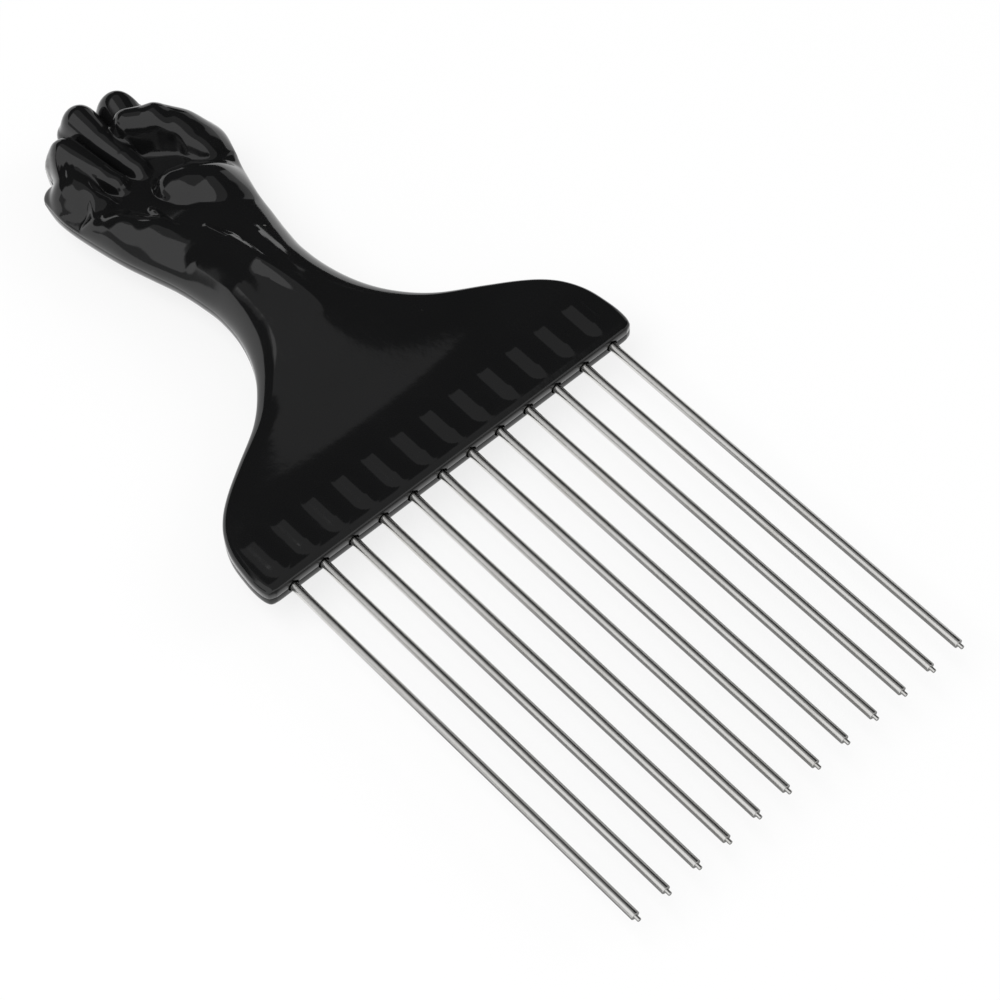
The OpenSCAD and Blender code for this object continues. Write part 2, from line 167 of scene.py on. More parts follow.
# Rise of the middle line: share of the way to the wrist, on the palm side, on the back
FLARE_SHARES = [[0.25, 0, 0], [0.34, 0.04, 0.04], [0.45, 0.19, 0.18], [0.57, 0.46, 0.45],
                [0.71, 0.75, 0.75], [0.87, 0.95, 0.96], [1, 1, 1]]
# The same on the hand: share of its length, of the thumb's height, of the back's depth
PALM_SHARES = [[0.18, 0.56, 0.72], [0.34, 0.45, 0.69], [0.53, 0.2, 0.71],
               [0.73, 0.25, 0.74], [1, 0.27, 0.56]]
# Round of the side edges: share of the way to the wrist, of its growth to half the wrist's
# width, and how much of the base's squareness is kept
RIM_SHARES = [[0.29, 0, 1], [0.41, 0.09, 0.95], [0.55, 0.24, 0.8], [0.71, 0.52, 0.4],
              [0.86, 0.82, 0.1], [1, 0.97, 0]]
# The same on the hand: share of its length, radius as a share of the half width
HAND_RIM_SHARES = [[0.22, 0.55], [0.51, 0.46], [1, 0.37]]
# Links of the fingers, thumb and palm: x, y, z and radius. x and radius are shares of the half
# width, y of the hand's length from the wrist, z of the height of the thumb
FINGER_SHARES = [
    [[-0.767, 0.709, 0.289, 0.209], [-0.65, 0.628, 0.316, 0.129], [-0.583, 0.587, 0.246, 0.11]],
    [[-0.515, 0.843, 0.316, 0.202], [-0.393, 0.677, 0.351, 0.123], [-0.319, 0.626, 0.272, 0.11]],
    [[-0.117, 0.925, 0.333, 0.196], [-0.11, 0.797, 0.281, 0.166], [-0.074, 0.681, 0.281, 0.135],
     [-0.031, 0.634, 0.228, 0.117]],
    [[0.331, 0.904, 0.281, 0.221], [0.258, 0.768, 0.175, 0.209], [0.209, 0.701, -0.105, 0.196]],
]
THUMB_SHARES = [[0.724, 0.583, 0.105, 0.307], [0.626, 0.644, 0.386, 0.212],
                [0.405, 0.706, 0.614, 0.163], [0.147, 0.762, 0.632, 0.138]]
THUMB_BALL_SHARES = [[0.074, 0.476, 0.263, 0.221], [0.178, 0.445, 0.123, 0.331],
                     [0.423, 0.374, 0.123, 0.356], [0.681, 0.303, 0.018, 0.356],
                     [0.804, 0.256, -0.132, 0.319]]
HEEL_SHARES = [[-0.859, 0.504, 0.158, 0.258], [-0.761, 0.461, 0.211, 0.258],
               [-0.528, 0.354, 0.211, 0.258], [-0.399, 0.177, 0.044, 0.307]]
# Soft ridges: the forearm's edge and three tendons. x, y, rise and half width, as above
RIDGE_SHARES = [
    [[-0.393, 0.207, 0.018, 0.092], [-0.417, 0.138, 0.088, 0.184], [-0.423, -0.02, 0.096, 0.184],
     [-0.491, -0.177, 0.031, 0.184], [-0.528, -0.315, 0, 0.184]],
    [[-0.098, 0.236, 0.018, 0.074], [-0.061, 0.138, 0.088, 0.135], [-0.012, 0, 0.088, 0.147],
     [0.098, -0.157, 0.044, 0.147], [0.184, -0.295, 0, 0.147]],
    [[0.221, 0.207, 0.009, 0.061], [0.227, 0.118, 0.061, 0.092], [0.221, 0, 0.053, 0.086],
     [0.209, -0.157, 0, 0.086]],
    [[-0.307, 0.441, 0.044, 0.061], [-0.344, 0.335, 0.07, 0.08], [-0.301, 0.24, 0.044, 0.074],
     [-0.239, 0.185, 0, 0.061]],
]
# Bones and thumb's root on the back: links as on the palm, z of the depth of the back
BONE_SHARES = [[[-0.4, 0.295, 0.6, 0.135], [-0.75, 0.709, 0.47, 0.22]],
               [[-0.22, 0.276, 0.63, 0.147], [-0.466, 0.819, 0.54, 0.24]],
               [[-0.02, 0.256, 0.65, 0.147], [-0.11, 0.886, 0.56, 0.258]],
               [[0.2, 0.276, 0.6, 0.147], [0.24, 0.856, 0.54, 0.264]]]
THUMB_ROOT_SHARES = [[0.43, 0.335, 0.22, 0.307], [0.736, 0.61, 0.11, 0.276]]
# Shares of the fist's half width: the round of its top, and the widths over which forms run
# together in soft places, in creases and between the bones
TOP_ROUND_SHARE = 0.2
SOFT_SHARE, CREASE_SHARE, BONE_SHARE = 0.09, 0.03, 0.11
# The wall beside the seam keeps this share of its height on the hand
LAND_KEEP_SHARE = 0.4
# How full the crown of base and flare stays towards the sides: the lower, the fuller
CROWN_POWER = 1.3
# A link's section is round up to this share of its radius, and runs on straight from there
ARC_SHARE = 0.97
# The hand's forms start this share of the arm's length before the wrist
REACH_SHARE = 0.25
# The rows start to bend towards the knuckles this share of the way up the hand's sides
LIFT_SHARE = 0.5
# Shift of the ribs from the tines' axes, as a share of a rib's half width
RIB_SHIFT_SHARE = 0.1
# How often the hand's points are averaged with their neighbours. It sets in from the sides, the
# wrist and the top by these steepnesses and delays
SOFTENING = 6
SIDE_FADE, WRIST_FADE, TOP_FADE = (3, 0.5), (5, 0.4), (3, 0.3)

# The two sides, numbered as the columns of their heights in the table of the middle line
PALM_SIDE, BACK_SIDE = 1, 2
# Grid of a half: columns round each edge, columns between, rows of lip, arm, hand and top
GRID = {PALM_SIDE: (18, 180, 8, 116, 248, 16), BACK_SIDE: (14, 120, 8, 100, 150, 14)}


def curve(table, col, y):
    """Smooth curve through the rows of a table: its column col at the places y."""
    place, value = table[:, 0], table[:, col]
    before = np.maximum(np.arange(len(place)) - 1, 0)
    after = np.minimum(np.arange(len(place)) + 1, len(place) - 1)
    slope = (value[after] - value[before]) / (place[after] - place[before])
    i = np.clip(np.searchsorted(place, y) - 1, 0, len(place) - 2)
    h = place[i + 1] - place[i]
    s = np.clip((y - place[i]) / h, 0, 1)
    s2, s3 = s * s, s * s * s
    return ((2 * s3 - 3 * s2 + 1) * value[i] + (s3 - 2 * s2 + s) * h * slope[i]
            + (3 * s2 - 2 * s3) * value[i + 1] + (s3 - s2) * h * slope[i + 1])


def soft_max(a, b, k):
    """The larger of two heights, run together over the width k."""
    h = np.maximum(k - np.abs(a - b), 0)
    return np.maximum(a, b) + h * h / k / 4


def soft_min(a, b, k):
    """The smaller of two heights, run together over the width k."""
    return -soft_max(-a, -b, k)


def soft_top(heights, k):
    """The largest of several heights, run together over the width k."""
    top = heights[-1]
    for height in reversed(heights[:-1]):
        top = soft_max(height, top, k)
    return top


def arc(d, r):
    """A half circle's height at the distance d from its middle, running on straight."""
    s = np.minimum(np.abs(d), ARC_SHARE * r)
    fall = ARC_SHARE / math.sqrt(1 - ARC_SHARE ** 2)
    return np.sqrt(r * r - s * s) - fall * (np.abs(d) - s)


def nearest(x, y, a, b):
    """Distance from the line between two ends, and their height and radius beside it."""
    dx, dy = b[0] - a[0], b[1] - a[1]
    t = np.clip(((x - a[0]) * dx + (y - a[1]) * dy) / (dx * dx + dy * dy), 0, 1)
    apart = np.hypot(x - a[0] - t * dx, y - a[1] - t * dy)
    return apart, a[2] + t * (b[2] - a[2]), a[3] + t * (b[3] - a[3])


def link(x, y, a, b):
    """Height of a round tapered link between two ends of x, y, z and radius."""
    apart, height, r = nearest(x, y, a, b)
    return height + arc(apart, r)


def chain(x, y, ends, k):
    """Height of a row of links, run together over the width k."""
    return soft_top([link(x, y, a, b) for a, b in zip(ends, ends[1:])], k)


def quarter(d, r):
    """A quarter round edge: 0 at the outline, 1 once d has reached the radius r."""
    t = 1 - np.clip(d / r, 0, 1)
    return np.sqrt(np.maximum(1 - t * t, 0))


def round_step(k, n):
    """Share of a quarter round's width that is reached after k of n equal turns."""
    return 1 - np.cos(np.pi / 2 * k / n)


def smooth_step(t):
    """0 to 1 as t goes from 0 to 1, level at both ends."""
    s = np.clip(t, 0, 1)
    return s * s * (3 - 2 * s)


def softened(place, weight):
    """Points of a grid, drawn by weight to the mean of those around them, to soften folds."""
    for _ in range(SOFTENING):
        wide = np.pad(place, ((0, 0), (1, 1), (1, 1)), mode="edge")
        wide = (wide[:, :, :-2] + 2 * wide[:, :, 1:-1] + wide[:, :, 2:]) / 4
        wide = (wide[:, :-2] + 2 * wide[:, 1:-1] + wide[:, 2:]) / 4
        place = place + weight * (wide - place)
    return place


def swell(x, y, ends):
    """A soft ridge along a row of ends of x, y, rise and half width, to add to a height."""
    rise = 0
    for a, b in zip(ends, ends[1:]):
        apart, crest, half = nearest(x, y, a, b)
        share = np.clip(1 - (apart / half) ** 2, 0, 1)
        one = crest * share * share
        rise = np.where(np.abs(one) > np.abs(rise), one, rise)
    return rise


class HandleForm:
    """The handle's surface over its seam, measured from the tine wall."""

    def __init__(self, sizes):
        self.s = s = sizes
        self.half_w = s.hand_w / 2
        self.half_slab = s.slab_t / 2
        self.wrist_y = s.base_h + s.arm_len
        self.corner_y = self.wrist_y + HAND_SHARES[-1][0] * s.hand_len
        self.top_round = TOP_ROUND_SHARE * self.half_w
        self.soft = SOFT_SHARE * self.half_w
        self.crease = CREASE_SHARE * self.half_w
        self.bone_soft = BONE_SHARE * self.half_w
        base_end = BASE_SHARES[-1][1] * s.base_w / 2
        wrist = s.arm_w / 2
        self.side_line = np.array(
            [[p * s.base_h, w * s.base_w / 2, w * s.base_w / 2] for p, w in BASE_SHARES]
            + [[s.base_h + p * s.arm_len] + [wrist + w * (base_end - wrist)] * 2
               for p, w in ARM_SHARES]
            + [[self.wrist_y + p * s.hand_len, wrist + a * (self.half_w - wrist),
                wrist + b * (self.half_w - wrist)] for p, a, b in HAND_SHARES])
        self.spine = np.array(
            [[0, self.half_slab, self.half_slab]]
            + [[p * self.wrist_y, self.half_slab + a * (s.arm_front - self.half_slab),
                self.half_slab + b * (s.arm_back - self.half_slab)]
               for p, a, b in FLARE_SHARES]
            + [[self.wrist_y + p * s.hand_len, a * s.hand_front, b * s.hand_back]
               for p, a, b in PALM_SHARES])
        self.rim_line = np.array(
            [[0, s.rim_r, 1]]
            + [[p * self.wrist_y, s.rim_r + w * (wrist - s.rim_r), keep]
               for p, w, keep in RIM_SHARES]
            + [[self.wrist_y + p * s.hand_len, w * self.half_w, 0]
               for p, w in HAND_RIM_SHARES])
        self.knuckles = [[x * self.half_w, self.wrist_y + y * s.hand_len, r * self.half_w]
                         for x, y, r in KNUCKLE_SHARES]

    def on_hand(self, shares, height):
        """Ends that are given as shares of the hand, in metres."""
        return [[x * self.half_w, self.wrist_y + y * self.s.hand_len, z * height,
                 r * self.half_w] for x, y, z, r in shares]

    def palm_side(self, x, y, z):
        """Height of the palm: the plain form z, the palm's cushions, the fingers, the thumb."""
        height = self.s.hand_front

        def form(shares, k):
            return chain(x, y, self.on_hand(shares, height), k)

        palm = soft_top([z, form(HEEL_SHARES, self.soft),
                         form(THUMB_BALL_SHARES, self.soft)], self.soft)
        folded = soft_top([form(f, self.crease) for f in FINGER_SHARES], self.crease)
        grip = soft_max(soft_max(palm, folded, self.crease),
                        form(THUMB_SHARES, self.soft), self.crease)
        return soft_min(grip, height, self.crease)

    def back_side(self, x, y, z):
        """Depth of the hand's back: the plain form z, four bones and the thumb's root."""
        height = self.s.hand_back

        def form(shares, k):
            return chain(x, y, self.on_hand(shares, height), k)

        bones = soft_top([form(b, self.soft) for b in BONE_SHARES], self.bone_soft)
        root = form(THUMB_ROOT_SHARES, self.soft)
        return soft_min(soft_top([z, bones, root], self.bone_soft), height, self.soft)

    def knuckle_line(self, x):
        """The outline of the knuckles, as a place along Y for each x."""
        return soft_top([y - r + arc(x - kx, r) for kx, y, r in self.knuckles], self.crease)

    def edge_radius(self, y0):
        """Radius of the round side edges in the rows y0."""
        return np.maximum(curve(self.rim_line, 1, y0), self.s.rim_r)

    def ribs(self, x, y):
        """Low rounded ribs over the roots of the tines."""
        s = self.s
        rise = np.zeros_like(x)
        half = s.rib_w / 2
        front = s.rim_r + s.rib_gap + half
        for name in TINES:
            axis = tine_axis(name) - RIB_SHIFT_SHARE * half
            apart = np.hypot(x - axis, y - np.clip(y, front, front + s.rib_len - s.rib_w))
            rise = np.maximum(rise, s.rib_h * (1 - np.clip(apart / half, 0, 1) ** 2) ** 2)
        return rise

    def surface(self, x, y0, side):
        """Y and height of the surface at column places x and row places y0."""
        s = self.s
        left, right = curve(self.side_line, 1, y0), curve(self.side_line, 2, y0)
        r = self.edge_radius(y0)
        keep = np.clip(curve(self.rim_line, 2, y0), 0, 1)
        middle = np.maximum(curve(self.spine, side, y0), self.half_slab)
        edge = keep * self.half_slab
        rise_from = self.wrist_y + LIFT_SHARE * (self.corner_y - self.wrist_y)
        rise_over = (1 - LIFT_SHARE) * (self.corner_y - self.top_round - self.wrist_y)
        lift = smooth_step((y0 - rise_from) / rise_over)
        land = s.land_h * (LAND_KEEP_SHARE + (1 - LAND_KEEP_SHARE) * keep)
        top = np.maximum(self.knuckle_line(x), self.corner_y)
        y = y0 + lift * (top - self.corner_y)
        u = np.minimum(np.abs(x) / np.where(x < 0, left, right), 1)
        crown = np.maximum(1 - u * u, 0) ** CROWN_POWER
        plain = edge + (middle - edge) * (keep * crown + 1 - keep)
        below_hand = y0 <= self.wrist_y - s.arm_len * REACH_SHARE
        if side == PALM_SIDE:
            ridges = sum(swell(x, y, self.on_hand(r, s.hand_front)) for r in RIDGE_SHARES)
            plain = plain + np.where(y > s.base_h, ridges, 0)
            form = np.where(below_hand, plain, self.palm_side(x, y, plain)) + self.ribs(x, y)
        else:
            form = np.where(below_hand, plain, self.back_side(x, y, plain))
        edges = (quarter(x + left, r) * quarter(right - x, r)
                 * quarter(top - y, self.top_round) * quarter(y, s.rim_r))
        return y, land + (form - land) * edges

    def grid(self, side):
        """Places of a half's grid points, row by row from the tine wall to the knuckles."""
        edge, between, lip, arm, hand, top = GRID[side]
        s = self.s
        hand_end = self.corner_y - self.top_round
        y0 = np.concatenate([
            s.rim_r * round_step(np.arange(lip + 1), lip),
            s.rim_r + (self.wrist_y - s.rim_r) * np.arange(1, arm + 1) / arm,
            self.wrist_y + (hand_end - self.wrist_y) * np.arange(1, hand + 1) / hand,
            self.corner_y - self.top_round * round_step(np.arange(top - 1, -1, -1), top),
        ])[:, None]
        left, right = curve(self.side_line, 1, y0), curve(self.side_line, 2, y0)
        r = self.edge_radius(y0)
        n = 2 * edge + between
        i = np.arange(n + 1)[None, :]
        x = np.where(i <= edge, r * round_step(i, edge) - left,
                     np.where(i >= edge + between, right - r * round_step(n - i, edge),
                              r - left + (left + right - 2 * r) * (i - edge) / between))
        y, z = self.surface(x, y0, side)
        inside = np.minimum(i, n - i) / edge * SIDE_FADE[0] - SIDE_FADE[1]
        above = (y0 - self.wrist_y) / s.hand_len * WRIST_FADE[0] - WRIST_FADE[1]
        below = (self.corner_y - y0) / self.top_round * TOP_FADE[0] - TOP_FADE[1]
        weight = smooth_step(np.minimum(np.minimum(inside, above), below))
        return softened(np.stack([x, y, z]), weight)


# Tools that make a mesh. Lengths are metres

# Points closer than this become one
MERGE_DISTANCE = 1e-6
# Half the width of the flat grid that is bent into a half of the handle
HALF_GRID = 0.5
# Sides of the channels and seats that are cut for the tines
SEAT_SIDES = 32
# Edges that turn by more than this are shaded sharp
SHELL_EDGE, TINE_EDGE = math.radians(38), math.radians(50)
# A collar starts this many of its lengths before the end of the root
COLLAR_SETBACK = 2
# Straight parts of a tine's shaft, and the round of its end's edge as a share of its radius
SHAFT_PARTS = 16
EDGE_SHARE = 0.14
# The round of that edge has one row between its ends, this share of the round from the shoulder
EDGE_ROW = 0.3
# The nib's tip: places and radii as shares of the nib's radius. The fillet at its foot: places
# as shares of the edge's round, back from the shoulder, and radii as shares of the nib's
NIB_TIP_SHARES = ((0, 0), (0, 0.72), (0.1, 0.92), (0.3, 1))
NIB_FOOT_SHARES = ((0.6, 1), (0.15, 1.06), (0, 1.25))


def mesh_of(name, bm):
    """Makes a mesh of a bmesh, which is then freed."""
    mesh = bpy.data.meshes.new(name)
    bm.to_mesh(mesh)
    bm.free()
    return mesh


def new_piece(name, bm, material):
    """Makes a smooth-shaded object of a bmesh and lets it ride on the part."""
    piece = bpy.data.objects.new(name, mesh_of(name, bm))
    piece.data.shade_smooth()
    bpy.context.scene.collection.objects.link(piece)
    piece.data.materials.append(material)
    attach(piece, "root")
    return piece


def turned(bm, axis_x, profile, sides):
    """Turns a profile of (y, radius) pairs about an axis along Y in the seam plane."""
    points = [bm.verts.new((axis_x + r, WALL_Y + y, SEAM_Z)) for y, r in profile]
    edges = [bm.edges.new(pair) for pair in zip(points, points[1:])]
    bmesh.ops.spin(bm, geom=points + edges, cent=(axis_x, WALL_Y, SEAM_Z), axis=(0, 1, 0),
                   angle=2 * math.pi, steps=sides, use_merge=True, use_duplicate=False)


def close_turned(bm):
    """Closes the poles of turned solids and turns their faces outwards."""
    bmesh.ops.remove_doubles(bm, verts=bm.verts, dist=MERGE_DISTANCE)
    bmesh.ops.recalc_face_normals(bm, faces=bm.faces)


def tine_axis(name):
    low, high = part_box(name)
    return (low.x + high.x) / 2


def seat_cutter(s):
    """The solid that the tines' channels, their collars' seats and the reliefs take out."""
    over, clear = s.exit_depth, s.seat_clear
    collar_y = s.root_len - COLLAR_SETBACK * (s.collar_len - 2 * clear) - clear
    profile = [(-over, 0), (-over, s.exit_d / 2), (s.exit_depth, s.exit_d / 2),
               (s.exit_depth, s.channel_d / 2), (collar_y, s.channel_d / 2),
               (collar_y, s.collar_d / 2), (collar_y + s.collar_len, s.collar_d / 2),
               (collar_y + s.collar_len, s.channel_d / 2), (s.root_len + clear, s.channel_d / 2),
               (s.root_len + clear, 0)]
    bm = bmesh.new()
    for name in TINES:
        turned(bm, tine_axis(name), profile, SEAT_SIDES)
    close_turned(bm)
    return bpy.data.objects.new("seat_cutter", mesh_of("seat_cutter", bm))


def half_shell(form, side):
    """One half of the handle as a bmesh: its surface, the wall round it and the seam face."""
    sign = 1 if side == PALM_SIDE else -1
    x, y, z = form.grid(side)
    rows, cols = x.shape
    bm = bmesh.new()
    bmesh.ops.create_grid(bm, x_segments=cols - 1, y_segments=rows - 1, size=HALF_GRID)
    place = np.stack([x, y + WALL_Y, SEAM_Z + sign * z], -1)
    for v in bm.verts:
        col = round((v.co.x + HALF_GRID) * (cols - 1))
        row = round((v.co.y + HALF_GRID) * (rows - 1))
        v.co = place[row, col]
    rim = [e for e in bm.edges if e.is_boundary]
    wall = bmesh.ops.extrude_edge_only(bm, edges=rim)["geom"]
    for v in wall:
        if isinstance(v, bmesh.types.BMVert):
            v.co.z = SEAM_Z
    seam = [e for e in bm.edges if e.is_boundary]
    bmesh.ops.edgeloop_fill(bm, edges=seam)
    bmesh.ops.recalc_face_normals(bm, faces=bm.faces)
    bmesh.ops.bevel(bm, geom=seam, offset=form.s.seam_gap, offset_type="OFFSET", segments=2,
                    profile=0.5, affect="EDGES", material=-1, clamp_overlap=False)
    return bm


def cut(piece, cutter):
    """Cuts a closed solid out of a piece and keeps its shading crisp at the edges."""
    modifier = piece.modifiers.new("seats", "BOOLEAN")
    modifier.operation = "DIFFERENCE"
    modifier.solver = "MANIFOLD"
    modifier.object = cutter
    bpy.context.view_layer.update()
    graph = bpy.context.evaluated_depsgraph_get()
    mesh = bpy.data.meshes.new_from_object(piece.evaluated_get(graph))
    piece.modifiers.clear()
    old = piece.data
    piece.data = mesh
    mesh.name = piece.name
    bpy.data.meshes.remove(old)
    mesh.shade_smooth()
    mesh.set_sharp_from_angle(angle=SHELL_EDGE)


# Tools that make a material

# The Mix node's sockets for a factor and two colours
MIX_FACTOR, MIX_FIRST, MIX_SECOND = 0, 6, 7


class Wire:
    """A shader socket or a number, to which Python's operators add Math nodes."""

    def __init__(self, net, socket):
        self.net, self.socket = net, socket

    def math(self, operation, *others):
        settings = {"operation": operation}
        return self.net.node("ShaderNodeMath", settings, [self, *others])["Value"]

    def __add__(self, other):
        return self.math("ADD", other)

    def __sub__(self, other):
        return self.math("SUBTRACT", other)

    def __mul__(self, other):
        return self.math("MULTIPLY", other)

    def __rsub__(self, other):
        return Wire(self.net, other).math("SUBTRACT", self)

    __radd__ = __add__
    __rmul__ = __mul__

    def larger(self, other):
        return self.math("MAXIMUM", other)

    def apart(self, middle):
        """How far the value is from a middle, on either side."""
        return (self - middle).math("ABSOLUTE")

    def step(self, start, full):
        """A soft step from 0 at start to 1 at full, which may be the smaller of the two."""
        settings = {"interpolation_type": "SMOOTHSTEP", "clamp": True}
        ends = (start, full, 0, 1) if start < full else (full, start, 1, 0)
        names = ("From Min", "From Max", "To Min", "To Max")
        return self.net.node("ShaderNodeMapRange", settings,
                             {"Value": self, **dict(zip(names, ends))})["Result"]


class Net:
    """Adds nodes to a tree. Inputs are given by place or by name, as values or Wires."""

    def __init__(self, tree):
        self.tree = tree
        self.tree.nodes.clear()

    def node(self, kind, settings=None, inputs=None):
        made = self.tree.nodes.new(kind)
        for name, value in (settings or {}).items():
            setattr(made, name, value)
        pairs = inputs.items() if isinstance(inputs, dict) else enumerate(inputs or [])
        for key, value in pairs:
            if isinstance(value, Wire) and isinstance(value.socket, bpy.types.NodeSocket):
                self.tree.links.new(value.socket, made.inputs[key])
            else:
                number = value.socket if isinstance(value, Wire) else value
                made.inputs[key].default_value = number
        return {out.name: Wire(self, out) for out in made.outputs if out.enabled}

    def noise(self, at, scale, detail=2.0, rough=0.5):
        return self.node("ShaderNodeTexNoise", None, {
            "Vector": at, "Scale": scale, "Detail": detail, "Roughness": rough})["Fac"]

    def stretched(self, at, scale):
        return self.node("ShaderNodeMapping", None, {"Vector": at, "Scale": scale})["Vector"]

    def mix(self, factor, a, b):
        inputs = {MIX_FACTOR: factor, MIX_FIRST: a, MIX_SECOND: b}
        return self.node("ShaderNodeMix", {"data_type": "RGBA"}, inputs)["Result"]

    def bump(self, height, strength, distance):
        return self.node("ShaderNodeBump", None, {
            "Strength": strength, "Distance": distance, "Height": height})["Normal"]

    def output(self, kind, shader):
        self.node(kind, None, [shader])


def new_material(name):
    material = bpy.data.materials.new(name)
    material.use_nodes = True
    return material, Net(material.node_tree)


def rgba(colour, gain=1.0):
    return [min(c * gain, 1) for c in colour] + [1.0]


# The middle of a noise, round which it varies
NOISE_MIDDLE = 0.5
# Plastic. The darkest and lightest it is mottled, and the colour and cover of its dust
PLASTIC_MOTTLE = (0.86, 1.14)
DUST_COLOUR, DUST_COVER = (0.16, 0.155, 0.14), 0.5
# What its marks add to its roughness, and their heights as shares of the bump's distance
SMUDGE_ROUGH, HAIRLINE_ROUGH, DUST_ROUGH, CLOUD_ROUGH = 0.045, 0.06, 0.4, 0.02
WAVE_RISE, PEEL_RISE, FINE_RISE, DUST_RISE, HAIRLINE_DEPTH = 4, 1, 0.03, 1.6, 0.12
# Steel. Colours and covers of its stains and pits, and the same for its roughness and heights
STAIN_COLOUR, STAIN_COVER = (0.60, 0.585, 0.55), 0.55
PIT_COLOUR, PIT_COVER = (0.3, 0.28, 0.25), 0.35
DRAWN_ROUGH, STAIN_ROUGH, PIT_ROUGH = 0.16, 0.07, 0.1
DRAWN_RISE, BROAD_RISE, PIT_DEPTH = 0.6, 0.8, 0.5


def handle_plastic(finish):
    """Glossy black moulded plastic: a faint waviness, wiped smudges, dust and hairlines."""
    material, net = new_material("handle_plastic")
    at = net.node("ShaderNodeTexCoord")["Object"]
    cloud = net.noise(at, scale=70, detail=3)
    wiped = net.stretched(at, (1, 0.35, 1))
    smudge = net.noise(wiped, scale=160, detail=4, rough=0.6).step(0.5, 0.78)
    speck = net.node("ShaderNodeTexVoronoi", None, {"Vector": at, "Scale": 260})["Distance"]
    patch = net.noise(at, scale=420, detail=1).step(0.66, 0.7)
    dust = speck.step(0.085, 0.05) * patch
    lines = net.noise(net.stretched(at, (9, 0.45, 1)), scale=420, detail=2, rough=0.4)
    hairline = lines.apart(NOISE_MIDDLE).step(0.0045, 0.001) * cloud.step(0.5, 0.62)
    darker, lighter = (rgba(finish.plastic_colour, gain) for gain in PLASTIC_MOTTLE)
    colour = net.mix(cloud, darker, lighter)
    colour = net.mix(dust * DUST_COVER, colour, rgba(DUST_COLOUR))
    rough = (finish.plastic_rough + smudge * SMUDGE_ROUGH + hairline * HAIRLINE_ROUGH
             + dust * DUST_ROUGH + (cloud - NOISE_MIDDLE) * CLOUD_ROUGH)
    wave = net.noise(at, scale=48, detail=1)
    peel = net.noise(at, scale=520, detail=2, rough=0.45)
    fine = net.noise(at, scale=3400, detail=2, rough=0.6)
    height = (wave * WAVE_RISE + peel * PEEL_RISE + fine * FINE_RISE + dust * DUST_RISE
              - hairline * HAIRLINE_DEPTH)
    bump = net.bump(height, strength=0.55, distance=0.00002)
    shader = net.node("ShaderNodeBsdfPrincipled", None, {
        "Base Color": colour, "Roughness": rough, "IOR": 1.5, "Normal": bump})["BSDF"]
    net.output("ShaderNodeOutputMaterial", shader)
    return material


def tine_steel(finish):
    """Drawn and polished steel: fine lines along the wire, faint stains and pits."""
    material, net = new_material("tine_steel")
    at = net.node("ShaderNodeTexCoord")["Object"]
    drawn = net.noise(net.stretched(at, (1, 0.012, 1)), scale=5200, detail=2, rough=0.55)
    broad = net.noise(net.stretched(at, (1, 0.04, 1)), scale=1500, detail=2, rough=0.5)
    stain = net.noise(net.stretched(at, (1, 0.4, 1)), scale=260, detail=4, rough=0.6)
    pit = net.noise(at, scale=4200, detail=1).step(0.72, 0.78)
    colour = net.mix(stain.step(0.42, 0.75) * STAIN_COVER, rgba(finish.steel_colour),
                     rgba(STAIN_COLOUR))
    colour = net.mix(pit * PIT_COVER, colour, rgba(PIT_COLOUR))
    rough = (finish.steel_rough + (drawn - NOISE_MIDDLE) * DRAWN_ROUGH
             + stain.step(0.45, 0.8) * STAIN_ROUGH + pit * PIT_ROUGH)
    height = drawn * DRAWN_RISE + broad * BROAD_RISE - pit * PIT_DEPTH
    bump = net.bump(height, strength=0.35, distance=0.00001)
    shader = net.node("ShaderNodeBsdfPrincipled", None, {
        "Base Color": colour, "Roughness": rough, "Metallic": 1.0, "Normal": bump})["BSDF"]
    net.output("ShaderNodeOutputMaterial", shader)
    return material


# The steps that make the pick

class PICK_OT_handle(Operator):
    """Makes the two moulded halves of the handle, with the seats of the tines"""
    bl_idname = "pick.handle"
    bl_label = "Make the handle"

    def execute(self, context):
        sizes = context.scene.pick_handle
        form = HandleForm(sizes)
        plastic = handle_plastic(context.scene.pick_finish)
        cutter = seat_cutter(sizes)
        context.scene.collection.objects.link(cutter)
        for name, node, side in (("handle_front", "front_shell", PALM_SIDE),
                                 ("handle_back", "back_shell", BACK_SIDE)):
            piece = new_piece(name, half_shell(form, side), plastic)
            cut(piece, cutter)
            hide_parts(node)
        bpy.data.objects.remove(cutter)
        return {"FINISHED"}


class PICK_OT_tines(Operator):
    """Makes the steel tines, each with its collar, its end's edge and its nib"""
    bl_idname = "pick.tines"
    bl_label = "Make the tines"

    def execute(self, context):
        s = context.scene.pick_tines
        root = context.scene.pick_handle.root_len
        steel = tine_steel(context.scene.pick_finish)
        r, nib, collar = s.tine_d / 2, s.nib_d / 2, s.collar_d / 2
        shoulder = s.nib_len - s.tine_len
        collar_y = root - COLLAR_SETBACK * s.collar_len
        edge = r * EDGE_SHARE
        tip = [(-s.tine_len + nib * y, nib * w) for y, w in NIB_TIP_SHARES]
        foot = [(shoulder - edge * y, nib * w) for y, w in NIB_FOOT_SHARES]
        shaft = [(shoulder + (collar_y - shoulder) * k / SHAFT_PARTS, r)
                 for k in range(1, SHAFT_PARTS)]
        profile = [*tip, *foot, (shoulder, r - edge),
                   (shoulder + edge * EDGE_ROW, r - edge * EDGE_ROW), (shoulder + edge, r),
                   *shaft, (collar_y, r), (collar_y, collar),
                   (collar_y + s.collar_len, collar), (collar_y + s.collar_len, r),
                   (root, r), (root, 0)]
        for node in TINES:
            bm = bmesh.new()
            turned(bm, tine_axis(node), profile, s.round_parts)
            close_turned(bm)
            piece = new_piece(node + "_steel", bm, steel)
            piece.data.set_sharp_from_angle(angle=TINE_EDGE)
            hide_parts(node)
        return {"FINISHED"}


